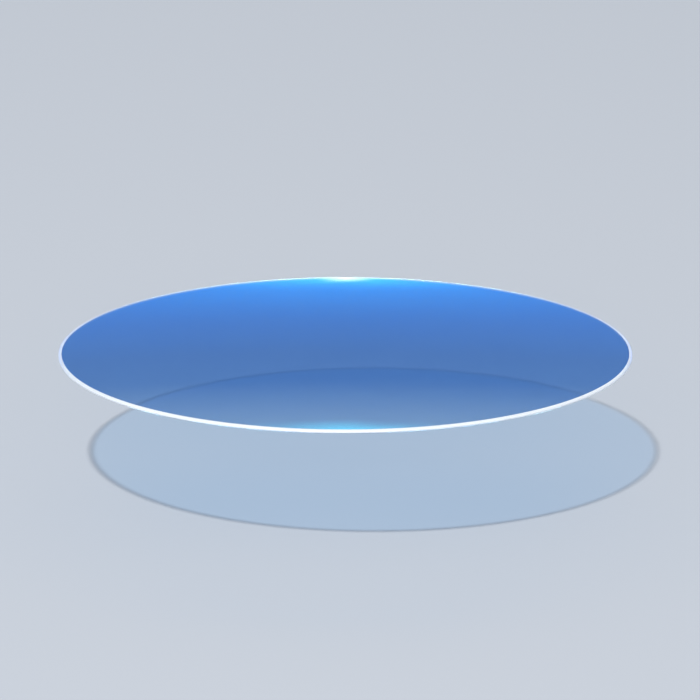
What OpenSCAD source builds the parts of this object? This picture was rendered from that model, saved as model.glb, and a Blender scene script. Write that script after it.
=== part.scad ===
// Round tempered-glass screen protector, in millimetres.
// A glass disc with a rounded upper edge, and under it the clear stack that it is stuck
// down with: optical adhesive, anti-shatter film and silicone adhesive.
// The origin is the centre of the bonding face, and +Z points up through the glass.

/* [Glass] */
// Outside diameter of the glass
glass_d = 40; // [28:0.5:46]
// Thickness of the glass
glass_t = 0.20; // [0.15:0.01:0.55]

/* [Ground edge] */
// Width of the rounded upper edge, seen from above
round_w = 0.24; // [0.10:0.01:1.00]
// Height of the straight ground band below the rounding
land_h = 0.05; // [0.02:0.01:0.08]
// Safety chamfer along the lower edge, at 45 degrees
chamfer = 0.02; // [0.01:0.01:0.05]

/* [Adhesive stack] */
// How far the die-cut stack stays inside the edge of the glass
setback = 0.25; // [0.10:0.01:0.80]
// How far each adhesive draws back from the edge of the film, so that none oozes out
draw_back = 0.04; // [0.01:0.01:0.08]
// Thickness of the optical adhesive between the glass and the film
optical_t = 0.03; // [0.02:0.005:0.10]
// Thickness of the anti-shatter film
film_t = 0.05; // [0.025:0.005:0.125]
// Thickness of the silicone adhesive, whose underside is the bonding face
silicone_t = 0.04; // [0.02:0.005:0.10]

/* [Hidden] */
$fn = 180;
// Straight pieces that the rounded edge is drawn with
round_steps = 12;

glass_r = glass_d / 2;
film_r = glass_r - setback;
adhesive_r = film_r - draw_back;

// Each layer seats on the one below it
film_z = silicone_t;
optical_z = film_z + film_t;
glass_z = optical_z + optical_t;

// Half of the glass's cross-section: flat underside, safety chamfer, straight band,
// then a quarter ellipse that runs tangent from the band into the flat top
function glass_profile() =
    let (band_top = chamfer + land_h, round_h = glass_t - band_top)
    concat(
        [[0, 0], [glass_r - chamfer, 0], [glass_r, chamfer]],
        [for (i = [0 : round_steps])
            let (a = 90 * i / round_steps)
            [glass_r - round_w * (1 - cos(a)), band_top + round_h * sin(a)]],
        [[0, glass_t]]
    );

module tempered_glass() {
    color([0.56, 0.74, 0.94, 0.45])
    translate([0, 0, glass_z])
    rotate_extrude()
    polygon(glass_profile());
}

module optical_adhesive() {
    color([0.86, 0.93, 0.98, 0.5])
    translate([0, 0, optical_z])
    cylinder(r = adhesive_r, h = optical_t);
}

module anti_shatter_film() {
    color([0.80, 0.88, 0.97, 0.5])
    translate([0, 0, film_z])
    cylinder(r = film_r, h = film_t);
}

module silicone_adhesive() {
    color([0.90, 0.94, 0.98, 0.5])
    cylinder(r = adhesive_r, h = silicone_t);
}

tempered_glass();
optical_adhesive();
anti_shatter_film();
silicone_adhesive();
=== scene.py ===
"""A round tempered-glass screen protector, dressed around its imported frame.

The glass disc and the three clear layers bonded under it are turned on a lathe at a
finer grain than the frame's own meshes, and stand exactly where those stand.
All lengths are in metres, and the camera's lens is in millimetres.
"""

import math
from collections import namedtuple

import bpy
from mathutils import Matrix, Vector

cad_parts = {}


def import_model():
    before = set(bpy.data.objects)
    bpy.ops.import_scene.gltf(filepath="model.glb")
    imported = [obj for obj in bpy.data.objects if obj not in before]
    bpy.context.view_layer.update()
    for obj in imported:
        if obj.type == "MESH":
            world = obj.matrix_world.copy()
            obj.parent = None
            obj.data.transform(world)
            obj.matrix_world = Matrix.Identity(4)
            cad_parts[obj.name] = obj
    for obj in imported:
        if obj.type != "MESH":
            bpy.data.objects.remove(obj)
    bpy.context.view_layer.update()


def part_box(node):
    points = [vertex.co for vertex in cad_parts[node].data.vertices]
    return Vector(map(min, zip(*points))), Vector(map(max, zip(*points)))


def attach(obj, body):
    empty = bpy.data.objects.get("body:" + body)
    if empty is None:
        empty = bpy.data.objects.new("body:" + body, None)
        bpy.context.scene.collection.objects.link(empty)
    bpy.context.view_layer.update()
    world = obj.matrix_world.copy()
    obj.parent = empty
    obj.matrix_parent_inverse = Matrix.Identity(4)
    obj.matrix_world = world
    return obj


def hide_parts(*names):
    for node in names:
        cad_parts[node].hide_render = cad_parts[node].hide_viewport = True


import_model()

MM = 0.001

# The ground edge, as the CAD source has it
ROUND_W = 0.24 * MM
LAND_H = 0.05 * MM
CHAMFER = 0.02 * MM

# How far a modelled piece stays inside the frame's box
SKIN = 0.0005 * MM
# Facets round the disc, and steps along its rounded edge
SEGMENTS = 720
ROUND_STEPS = 24
# The narrow ring beside a corner that keeps the shading of the flat face flat
GLASS_RING = 0.01 * MM
LAYER_RING = 0.005 * MM
# The places of the glass's two materials
FACE = 0
EDGE = 1

# The camera. Its distance is chosen, and its elevation, lens and aim then follow from
# the ellipse that the disc's rim draws in the photograph.
CAMERA_DISTANCE = 400 * MM
CAMERA_ELEVATION = math.radians(15.489)
CAMERA_LENS_MM = 295.3
AIM_RIGHT = 0.320 * MM
AIM_UP = 0.305 * MM
CLIP_NEAR = 10 * MM
CLIP_FAR = 10.0

# The disc hovers in the photograph, and here it hovers over the floor
HOVER = 8 * MM
FLOOR_HALF = 3.0
FLOOR_COLOUR = (0.44, 0.47, 0.52)
# The backdrop has the colour of the lit floor, which fades into it between these distances
BACKDROP_COLOUR = (0.56, 0.61, 0.69)
FADE_START = 180 * MM
FADE_END = 700 * MM

# The round reflector, which the camera itself doesn't see, and its colours by height
TENT_RADIUS = 110 * MM
TENT_TOP = 90 * MM
TENT_PANELS = 96
TENT_COLOURS = [
    (-8 * MM, (0.35, 0.42, 0.55)),
    (9 * MM, (0.35, 0.42, 0.55)),
    (13 * MM, (0.10, 0.30, 0.90)),
    (23 * MM, (0.0, 0.28, 1.15)),
    (26 * MM, (0.0, 0.16, 0.80)),
    (31 * MM, (0.01, 0.07, 0.32)),
    (33.5 * MM, (0.03, 0.10, 0.32)),
    (38 * MM, (0.36, 0.49, 0.53)),
    (70 * MM, FLOOR_COLOUR),
    (TENT_TOP, BACKDROP_COLOUR),
]
# The glows on its back wall: height, half width, half height, colour and strength
GLOWS = [
    (-3 * MM, 30 * MM, 7 * MM, (0.40, 0.85, 1.0), 50.0),
    (24 * MM, 45 * MM, 5 * MM, (0.0, 0.40, 1.0), 0.9),
    (24 * MM, 22 * MM, 1.4 * MM, (0.05, 0.60, 1.0), 1.8),
    (24 * MM, 3.2 * MM, 0.6 * MM, (0.9, 0.95, 1.0), 5.0),
    (38.2 * MM, 13 * MM, 1.1 * MM, (0.0, 0.70, 0.95), 1.6),
]

# The lamps: azimuth and elevation in degrees, width and height, and power in watts
LAMP_DISTANCE = 1.5
LAMPS = [
    ("key", -25, 60, 0.08, 0.08, 18.0),
    ("front", 0, 16, 1.2, 0.35, 16.0),
    ("back", 180, 22, 1.2, 0.35, 9.0),
    ("left", -90, 18, 1.0, 0.35, 4.0),
    ("right", 90, 18, 1.0, 0.35, 4.0),
]
# The soft light from all round
AIR_COLOUR = (0.90, 0.95, 1.0)
AIR_STRENGTH = 0.22

# The looks of the clear layers: the tint seen square on, the tint seen along the face,
# how strongly it bends light, and the tint that each of its faces gives to a shadow.
# The layers under the glass are bonded to it without air, so their faces hardly mirror.
Look = namedtuple("Look", "straight aslant ior shadow")
GLASS_LOOK = Look((0.95, 0.975, 0.995), (0.75, 0.89, 0.99), 1.5, (0.92, 0.96, 0.99))
FILM_LOOK = Look((0.84, 0.92, 0.99), (0.26, 0.48, 0.89), 1.02, (0.86, 0.93, 0.99))
ADHESIVE_LOOK = Look((0.98, 0.99, 1.0), (0.95, 0.98, 1.0), 1.01, (0.98, 0.99, 1.0))
# Where the tint starts to grow and where it is full: 0 is square on, 1 is along the face
TINT_STARTS = 0.2
TINT_FULL = 0.75

# The look of the ground edge: satin, and lighter than the glass
EDGE_COLOUR = (0.84, 0.89, 0.95)
EDGE_ROUGHNESS = 0.30
EDGE_CLEARNESS = 0.25
EDGE_POLISH = 0.06
EDGE_IOR = 1.5
EDGE_SHADOW = (0.10, 0.13, 0.18)

# The faint unevenness of the glass's faces: its waves' length, height and finer detail
WAVE_LENGTH = 5 * MM
WAVE_HEIGHT = 0.0008 * MM
WAVE_DETAIL = 1.0
# The grinding marks round the edge: their length, width, depth and finer detail
MARK_LENGTH = 2.5 * MM
MARK_WIDTH = 0.03 * MM
MARK_DEPTH = 0.002 * MM
MARK_DETAIL = 2.0
# How much rougher or smoother than the rest a mark makes the edge
MARK_ROUGHNESS = 0.12

# The rays that carry light from the lamps and the floor, and the rays that show things
LIGHT_RAYS = ("Is Shadow Ray", "Is Diffuse Ray")
SEEN_RAYS = ("Is Camera Ray", "Is Glossy Ray", "Is Transmission Ray")


def placed(name, data):
    """A new object in the scene, made of data."""
    made = bpy.data.objects.new(name, data)
    bpy.context.scene.collection.objects.link(made)
    return made


def camera():
    """The photograph's view: from the front, a little above the disc."""
    data = bpy.data.cameras.new("camera")
    data.lens = CAMERA_LENS_MM
    data.clip_start = CLIP_NEAR
    data.clip_end = CLIP_FAR
    made = placed("camera", data)
    back = Vector((0, -math.cos(CAMERA_ELEVATION), math.sin(CAMERA_ELEVATION)))
    up = Vector((0, math.sin(CAMERA_ELEVATION), math.cos(CAMERA_ELEVATION)))
    aim = AIM_RIGHT * Vector((1, 0, 0)) + AIM_UP * up
    made.location = aim + CAMERA_DISTANCE * back
    made.rotation_mode = "QUATERNION"
    made.rotation_quaternion = (-back).to_track_quat("-Z", "Y")
    bpy.context.scene.camera = made


def lathe(name, profile, zones, materials):
    """A closed body turned from profile, a list of (radius, height) from the axis below
    to the axis above. zones gives each stretch's material index."""
    turns = [2 * math.pi * k / SEGMENTS for k in range(SEGMENTS)]
    ring = [(math.cos(a), math.sin(a)) for a in turns]
    inner = profile[1:-1]
    points = [(r * c, r * s, z) for r, z in inner for c, s in ring]
    bottom, top = len(points), len(points) + 1
    points += [(0, 0, profile[0][1]), (0, 0, profile[-1][1])]
    faces, slots = [], []
    for k in range(SEGMENTS):
        after = (k + 1) % SEGMENTS
        faces.append((bottom, after, k))
        slots.append(zones[0])
        for i in range(len(inner) - 1):
            low, high = i * SEGMENTS, (i + 1) * SEGMENTS
            faces.append((low + k, low + after, high + after, high + k))
            slots.append(zones[i + 1])
        last = (len(inner) - 1) * SEGMENTS
        faces.append((last + k, last + after, top))
        slots.append(zones[-1])
    mesh = bpy.data.meshes.new(name)
    mesh.from_pydata(points, [], faces)
    mesh.polygons.foreach_set("material_index", slots)
    mesh.polygons.foreach_set("use_smooth", [True] * len(faces))
    for m in materials:
        mesh.materials.append(m)
    mesh.update()
    return placed(name, mesh)


def glass_profile(low, high, radius):
    """The glass's cross-section: underside, safety chamfer, ground band, rounded edge, top."""
    band_top = low + CHAMFER + LAND_H
    round_h = high - band_top
    points = [(0, low), (radius - CHAMFER - GLASS_RING, low), (radius - CHAMFER, low)]
    zones = [FACE, FACE]
    points.append((radius, low + CHAMFER))
    zones.append(EDGE)
    for i in range(ROUND_STEPS + 1):
        a = 0.5 * math.pi * i / ROUND_STEPS
        points.append((radius - ROUND_W * (1 - math.cos(a)), band_top + round_h * math.sin(a)))
        zones.append(EDGE)
    points += [(radius - ROUND_W - GLASS_RING, high), (0, high)]
    zones += [FACE, FACE]
    return points, zones


def layer_profile(low, high, radius):
    """A die-cut layer: flat on both sides, with a straight cut edge."""
    points = [(0, low), (radius - LAYER_RING, low), (radius, low)]
    points += [(radius, high), (radius - LAYER_RING, high), (0, high)]
    return points, [0] * (len(points) - 1)


def new_material(name):
    """An empty node material, with its output node."""
    made = bpy.data.materials.new(name)
    made.use_nodes = True
    nodes = made.node_tree.nodes
    nodes.clear()
    return made, nodes, made.node_tree.links, nodes.new("ShaderNodeOutputMaterial")


def add(nodes, kind, values):
    """A new shader node, with the given values on its inputs."""
    made = nodes.new("ShaderNode" + kind)
    for name, value in values.items():
        made.inputs[name].default_value = value
    return made


def combined(nodes, links, operation, first, second):
    """What a Math node makes of two outputs."""
    made = nodes.new("ShaderNodeMath")
    made.operation = operation
    links.new(first, made.inputs[0])
    links.new(second, made.inputs[1])
    return made.outputs[0]


def mixed(nodes, links, share, first, second):
    """Two shaders in one: the first where share is 0, and the second where it is 1."""
    made = nodes.new("ShaderNodeMixShader")
    links.new(share, made.inputs[0])
    links.new(first.outputs[0], made.inputs[1])
    links.new(second.outputs[0], made.inputs[2])
    return made.outputs[0]


def any_ray(nodes, links, kinds):
    """1 for a ray of one of the kinds, and 0 for any other."""
    path = nodes.new("ShaderNodeLightPath")
    found = path.outputs[kinds[0]]
    for kind in kinds[1:]:
        found = combined(nodes, links, "MAXIMUM", found, path.outputs[kind])
    return found


def lets_lamps_through(nodes, links, shader, out, tint):
    """Lamps and the floor's light pass the shader unbent, so glass has a clear shadow."""
    clear = add(nodes, "BsdfTransparent", {"Color": (*tint, 1)})
    both = mixed(nodes, links, any_ray(nodes, links, LIGHT_RAYS), shader, clear)
    links.new(both, out.inputs["Surface"])


def relief(nodes, links, height, depth, shader):
    """Raises and sinks the surface by a height from 0 to 1, over the given depth."""
    bump = add(nodes, "Bump", {"Distance": depth})
    links.new(height, bump.inputs["Height"])
    links.new(bump.outputs[0], shader.inputs["Normal"])


def face_waves(nodes, links):
    """Broad, shallow waves, as thin sheet glass has them."""
    place = nodes.new("ShaderNodeTexCoord")
    noise = add(nodes, "TexNoise", {"Scale": 1 / WAVE_LENGTH, "Detail": WAVE_DETAIL})
    links.new(place.outputs["Object"], noise.inputs["Vector"])
    return noise.outputs["Fac"]


def grinding_marks(nodes, links):
    """Fine marks that run round the disc, one above the other along the edge's profile."""
    place = nodes.new("ShaderNodeTexCoord")
    split = nodes.new("ShaderNodeSeparateXYZ")
    flat = nodes.new("ShaderNodeCombineXYZ")
    radius = nodes.new("ShaderNodeVectorMath")
    radius.operation = "LENGTH"
    along = nodes.new("ShaderNodeCombineXYZ")
    stretch = nodes.new("ShaderNodeVectorMath")
    stretch.operation = "MULTIPLY"
    stretch.inputs[1].default_value = (1 / MARK_LENGTH, 1 / MARK_LENGTH, 1 / MARK_WIDTH)
    noise = add(nodes, "TexNoise", {"Scale": 1.0, "Detail": MARK_DETAIL})
    links.new(place.outputs["Object"], split.inputs[0])
    for axis in ("X", "Y"):
        links.new(split.outputs[axis], flat.inputs[axis])
        links.new(split.outputs[axis], along.inputs[axis])
    links.new(flat.outputs[0], radius.inputs[0])
    climb = combined(nodes, links, "SUBTRACT", split.outputs["Z"], radius.outputs["Value"])
    links.new(climb, along.inputs["Z"])
    links.new(along.outputs[0], stretch.inputs[0])
    links.new(stretch.outputs[0], noise.inputs["Vector"])
    return noise.outputs["Fac"]


def clear_material(name, look, wavy=False):
    """Clear stock whose tint grows as the line of sight runs along its face."""
    made, nodes, links, out = new_material(name)
    shader = add(nodes, "BsdfPrincipled", {
        "Roughness": 0.0,
        "IOR": look.ior,
        "Transmission Weight": 1.0,
    })
    facing = nodes.new("ShaderNodeLayerWeight")
    tint = nodes.new("ShaderNodeValToRGB")
    stops = tint.color_ramp.elements
    stops[0].position = TINT_STARTS
    stops[0].color = (*look.straight, 1)
    stops[1].position = TINT_FULL
    stops[1].color = (*look.aslant, 1)
    links.new(facing.outputs["Facing"], tint.inputs[0])
    links.new(tint.outputs[0], shader.inputs["Base Color"])
    if wavy:
        relief(nodes, links, face_waves(nodes, links), WAVE_HEIGHT, shader)
    lets_lamps_through(nodes, links, shader, out, look.shadow)
    return made


def edge_material():
    """Ground and part-polished glass: a satin body under a clear gloss."""
    made, nodes, links, out = new_material("ground_edge")
    shader = add(nodes, "BsdfPrincipled", {
        "Base Color": (*EDGE_COLOUR, 1),
        "IOR": EDGE_IOR,
        "Transmission Weight": EDGE_CLEARNESS,
        "Coat Weight": 1.0,
        "Coat Roughness": EDGE_POLISH,
    })
    marks = grinding_marks(nodes, links)
    uneven = add(nodes, "MapRange", {
        "To Min": EDGE_ROUGHNESS - MARK_ROUGHNESS,
        "To Max": EDGE_ROUGHNESS + MARK_ROUGHNESS,
    })
    links.new(marks, uneven.inputs["Value"])
    links.new(uneven.outputs[0], shader.inputs["Roughness"])
    relief(nodes, links, marks, MARK_DEPTH, shader)
    lets_lamps_through(nodes, links, shader, out, EDGE_SHADOW)
    return made


def extent(node):
    """A node's lowest and highest height, and its radius."""
    low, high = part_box(node)
    return low.z, high.z, min(-low.x, high.x, -low.y, high.y)


def glass():
    """The tempered glass, with its clear faces and its ground edge."""
    low, high, radius = extent("tempered_glass")
    profile, zones = glass_profile(low + SKIN, high - SKIN, radius - SKIN)
    clear = clear_material("tempered_glass", GLASS_LOOK, wavy=True)
    made = lathe("glass", profile, zones, [clear, edge_material()])
    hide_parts("tempered_glass")
    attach(made, "root")


def layer(name, node, look):
    """One of the clear layers under the glass."""
    low, high, radius = extent(node)
    profile, zones = layer_profile(low + SKIN, high - SKIN, radius - SKIN)
    made = lathe(name, profile, zones, [clear_material(node, look)])
    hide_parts(node)
    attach(made, "root")


def floor_material():
    """A matt surface whose far part shows as the backdrop."""
    made, nodes, links, out = new_material("floor")
    shader = add(nodes, "BsdfPrincipled", {
        "Base Color": (*FLOOR_COLOUR, 1),
        "Roughness": 1.0,
        "Specular IOR Level": 0.0,
    })
    far = add(nodes, "Emission", {"Color": (*BACKDROP_COLOUR, 1)})
    place = nodes.new("ShaderNodeTexCoord")
    distance = nodes.new("ShaderNodeVectorMath")
    distance.operation = "LENGTH"
    share = add(nodes, "MapRange", {"From Min": FADE_START, "From Max": FADE_END})
    share.interpolation_type = "SMOOTHSTEP"
    links.new(place.outputs["Object"], distance.inputs[0])
    links.new(distance.outputs["Value"], share.inputs["Value"])
    seen = any_ray(nodes, links, SEEN_RAYS)
    fade = combined(nodes, links, "MULTIPLY", share.outputs[0], seen)
    links.new(mixed(nodes, links, fade, shader, far), out.inputs["Surface"])
    return made


def floor():
    """A plain, wide floor under the disc."""
    mesh = bpy.data.meshes.new("floor")
    corners = [(-1, -1), (1, -1), (1, 1), (-1, 1)]
    points = [(x * FLOOR_HALF, y * FLOOR_HALF, -HOVER) for x, y in corners]
    mesh.from_pydata(points, [], [(0, 1, 2, 3)])
    mesh.materials.append(floor_material())
    made = placed("floor", mesh)


def height_colours(nodes, links, height, colours):
    """A colour that follows height, through colours, a list of (height, colour)."""
    low, high = colours[0][0], colours[-1][0]
    share = add(nodes, "MapRange", {"From Min": low, "From Max": high})
    ramp = nodes.new("ShaderNodeValToRGB")
    stops = ramp.color_ramp.elements
    stops[0].color = (*colours[0][1], 1)
    stops[1].color = (*colours[-1][1], 1)
    for z, colour in colours[1:-1]:
        stops.new((z - low) / (high - low)).color = (*colour, 1)
    links.new(height, share.inputs["Value"])
    links.new(share.outputs[0], ramp.inputs[0])
    return ramp.outputs[0]


def glow_spot(nodes, links, place, height, half_width, half_height, colour, strength):
    """Light that fades from the middle of the tent's back wall."""
    there = nodes.new("ShaderNodeMapping")
    there.vector_type = "TEXTURE"
    there.inputs["Location"].default_value = (0, TENT_RADIUS, height)
    there.inputs["Scale"].default_value = (half_width, half_width, half_height)
    fade = nodes.new("ShaderNodeTexGradient")
    fade.gradient_type = "QUADRATIC_SPHERE"
    power = add(nodes, "Math", {1: strength})
    power.operation = "MULTIPLY"
    light = add(nodes, "Emission", {"Color": (*colour, 1)})
    links.new(place, there.inputs["Vector"])
    links.new(there.outputs[0], fade.inputs["Vector"])
    links.new(fade.outputs["Fac"], power.inputs[0])
    links.new(power.outputs[0], light.inputs["Strength"])
    return light.outputs[0]


def tent_material():
    """A glowing wall whose colour follows its height, with the glows added."""
    made, nodes, links, out = new_material("tent")
    place = nodes.new("ShaderNodeTexCoord").outputs["Object"]
    split = nodes.new("ShaderNodeSeparateXYZ")
    links.new(place, split.inputs[0])
    wall = nodes.new("ShaderNodeEmission")
    bands = height_colours(nodes, links, split.outputs["Z"], TENT_COLOURS)
    links.new(bands, wall.inputs["Color"])
    shown = wall.outputs[0]
    for spot in GLOWS:
        both = nodes.new("ShaderNodeAddShader")
        links.new(shown, both.inputs[0])
        links.new(glow_spot(nodes, links, place, *spot), both.inputs[1])
        shown = both.outputs[0]
    links.new(shown, out.inputs["Surface"])
    return made


def tent():
    """A round reflector, met only by what the disc mirrors or lets through."""
    points, faces = [], []
    for k in range(TENT_PANELS):
        a = 2 * math.pi * k / TENT_PANELS
        x, y = TENT_RADIUS * math.cos(a), TENT_RADIUS * math.sin(a)
        points += [(x, y, -HOVER), (x, y, TENT_TOP)]
        n = 2 * ((k + 1) % TENT_PANELS)
        faces.append((2 * k, n, n + 1, 2 * k + 1))
    mesh = bpy.data.meshes.new("tent")
    mesh.from_pydata(points, [], faces)
    mesh.materials.append(tent_material())
    made = placed("tent", mesh)
    made.visible_camera = False
    made.visible_diffuse = False
    made.visible_shadow = False


def soft_box(name, azimuth, elevation, width, height, power):
    """An area lamp that faces the disc. Azimuth 0 is in front, and 90 is on the right."""
    data = bpy.data.lights.new(name, "AREA")
    data.shape = "RECTANGLE"
    data.size = width
    data.size_y = height
    data.energy = power
    made = placed(name, data)
    a, e = math.radians(azimuth), math.radians(elevation)
    towards = Vector((math.sin(a) * math.cos(e), -math.cos(a) * math.cos(e), math.sin(e)))
    made.location = towards * LAMP_DISTANCE
    made.rotation_mode = "QUATERNION"
    made.rotation_quaternion = towards.to_track_quat("Z", "Y")


def world():
    """Soft light from all round, and a backdrop of the lit floor's colour, which the
    camera sees straight, mirrored and through the glass."""
    made = bpy.data.worlds.new("studio")
    bpy.context.scene.world = made
    made.use_nodes = True
    nodes, links = made.node_tree.nodes, made.node_tree.links
    nodes.clear()
    out = nodes.new("ShaderNodeOutputWorld")
    air = add(nodes, "Background", {"Color": (*AIR_COLOUR, 1), "Strength": AIR_STRENGTH})
    backdrop = add(nodes, "Background", {"Color": (*BACKDROP_COLOUR, 1)})
    seen = any_ray(nodes, links, SEEN_RAYS)
    links.new(mixed(nodes, links, seen, air, backdrop), out.inputs["Surface"])


def light_paths(cycles):
    """How far light is followed through the layers, and how its noise is cleared."""
    cycles.caustics_refractive = False
    cycles.max_bounces = 14
    cycles.diffuse_bounces = 3
    cycles.glossy_bounces = 8
    cycles.transmission_bounces = 12
    cycles.transparent_max_bounces = 32
    cycles.use_denoising = True


camera()
glass()
layer("optical_adhesive_layer", "optical_adhesive", ADHESIVE_LOOK)
layer("film_layer", "anti_shatter_film", FILM_LOOK)
layer("silicone_layer", "silicone_adhesive", ADHESIVE_LOOK)
floor()
tent()
world()
for lamp in LAMPS:
    soft_box(*lamp)

scene = bpy.context.scene
scene.view_settings.view_transform = "Standard"
light_paths(scene.cycles)
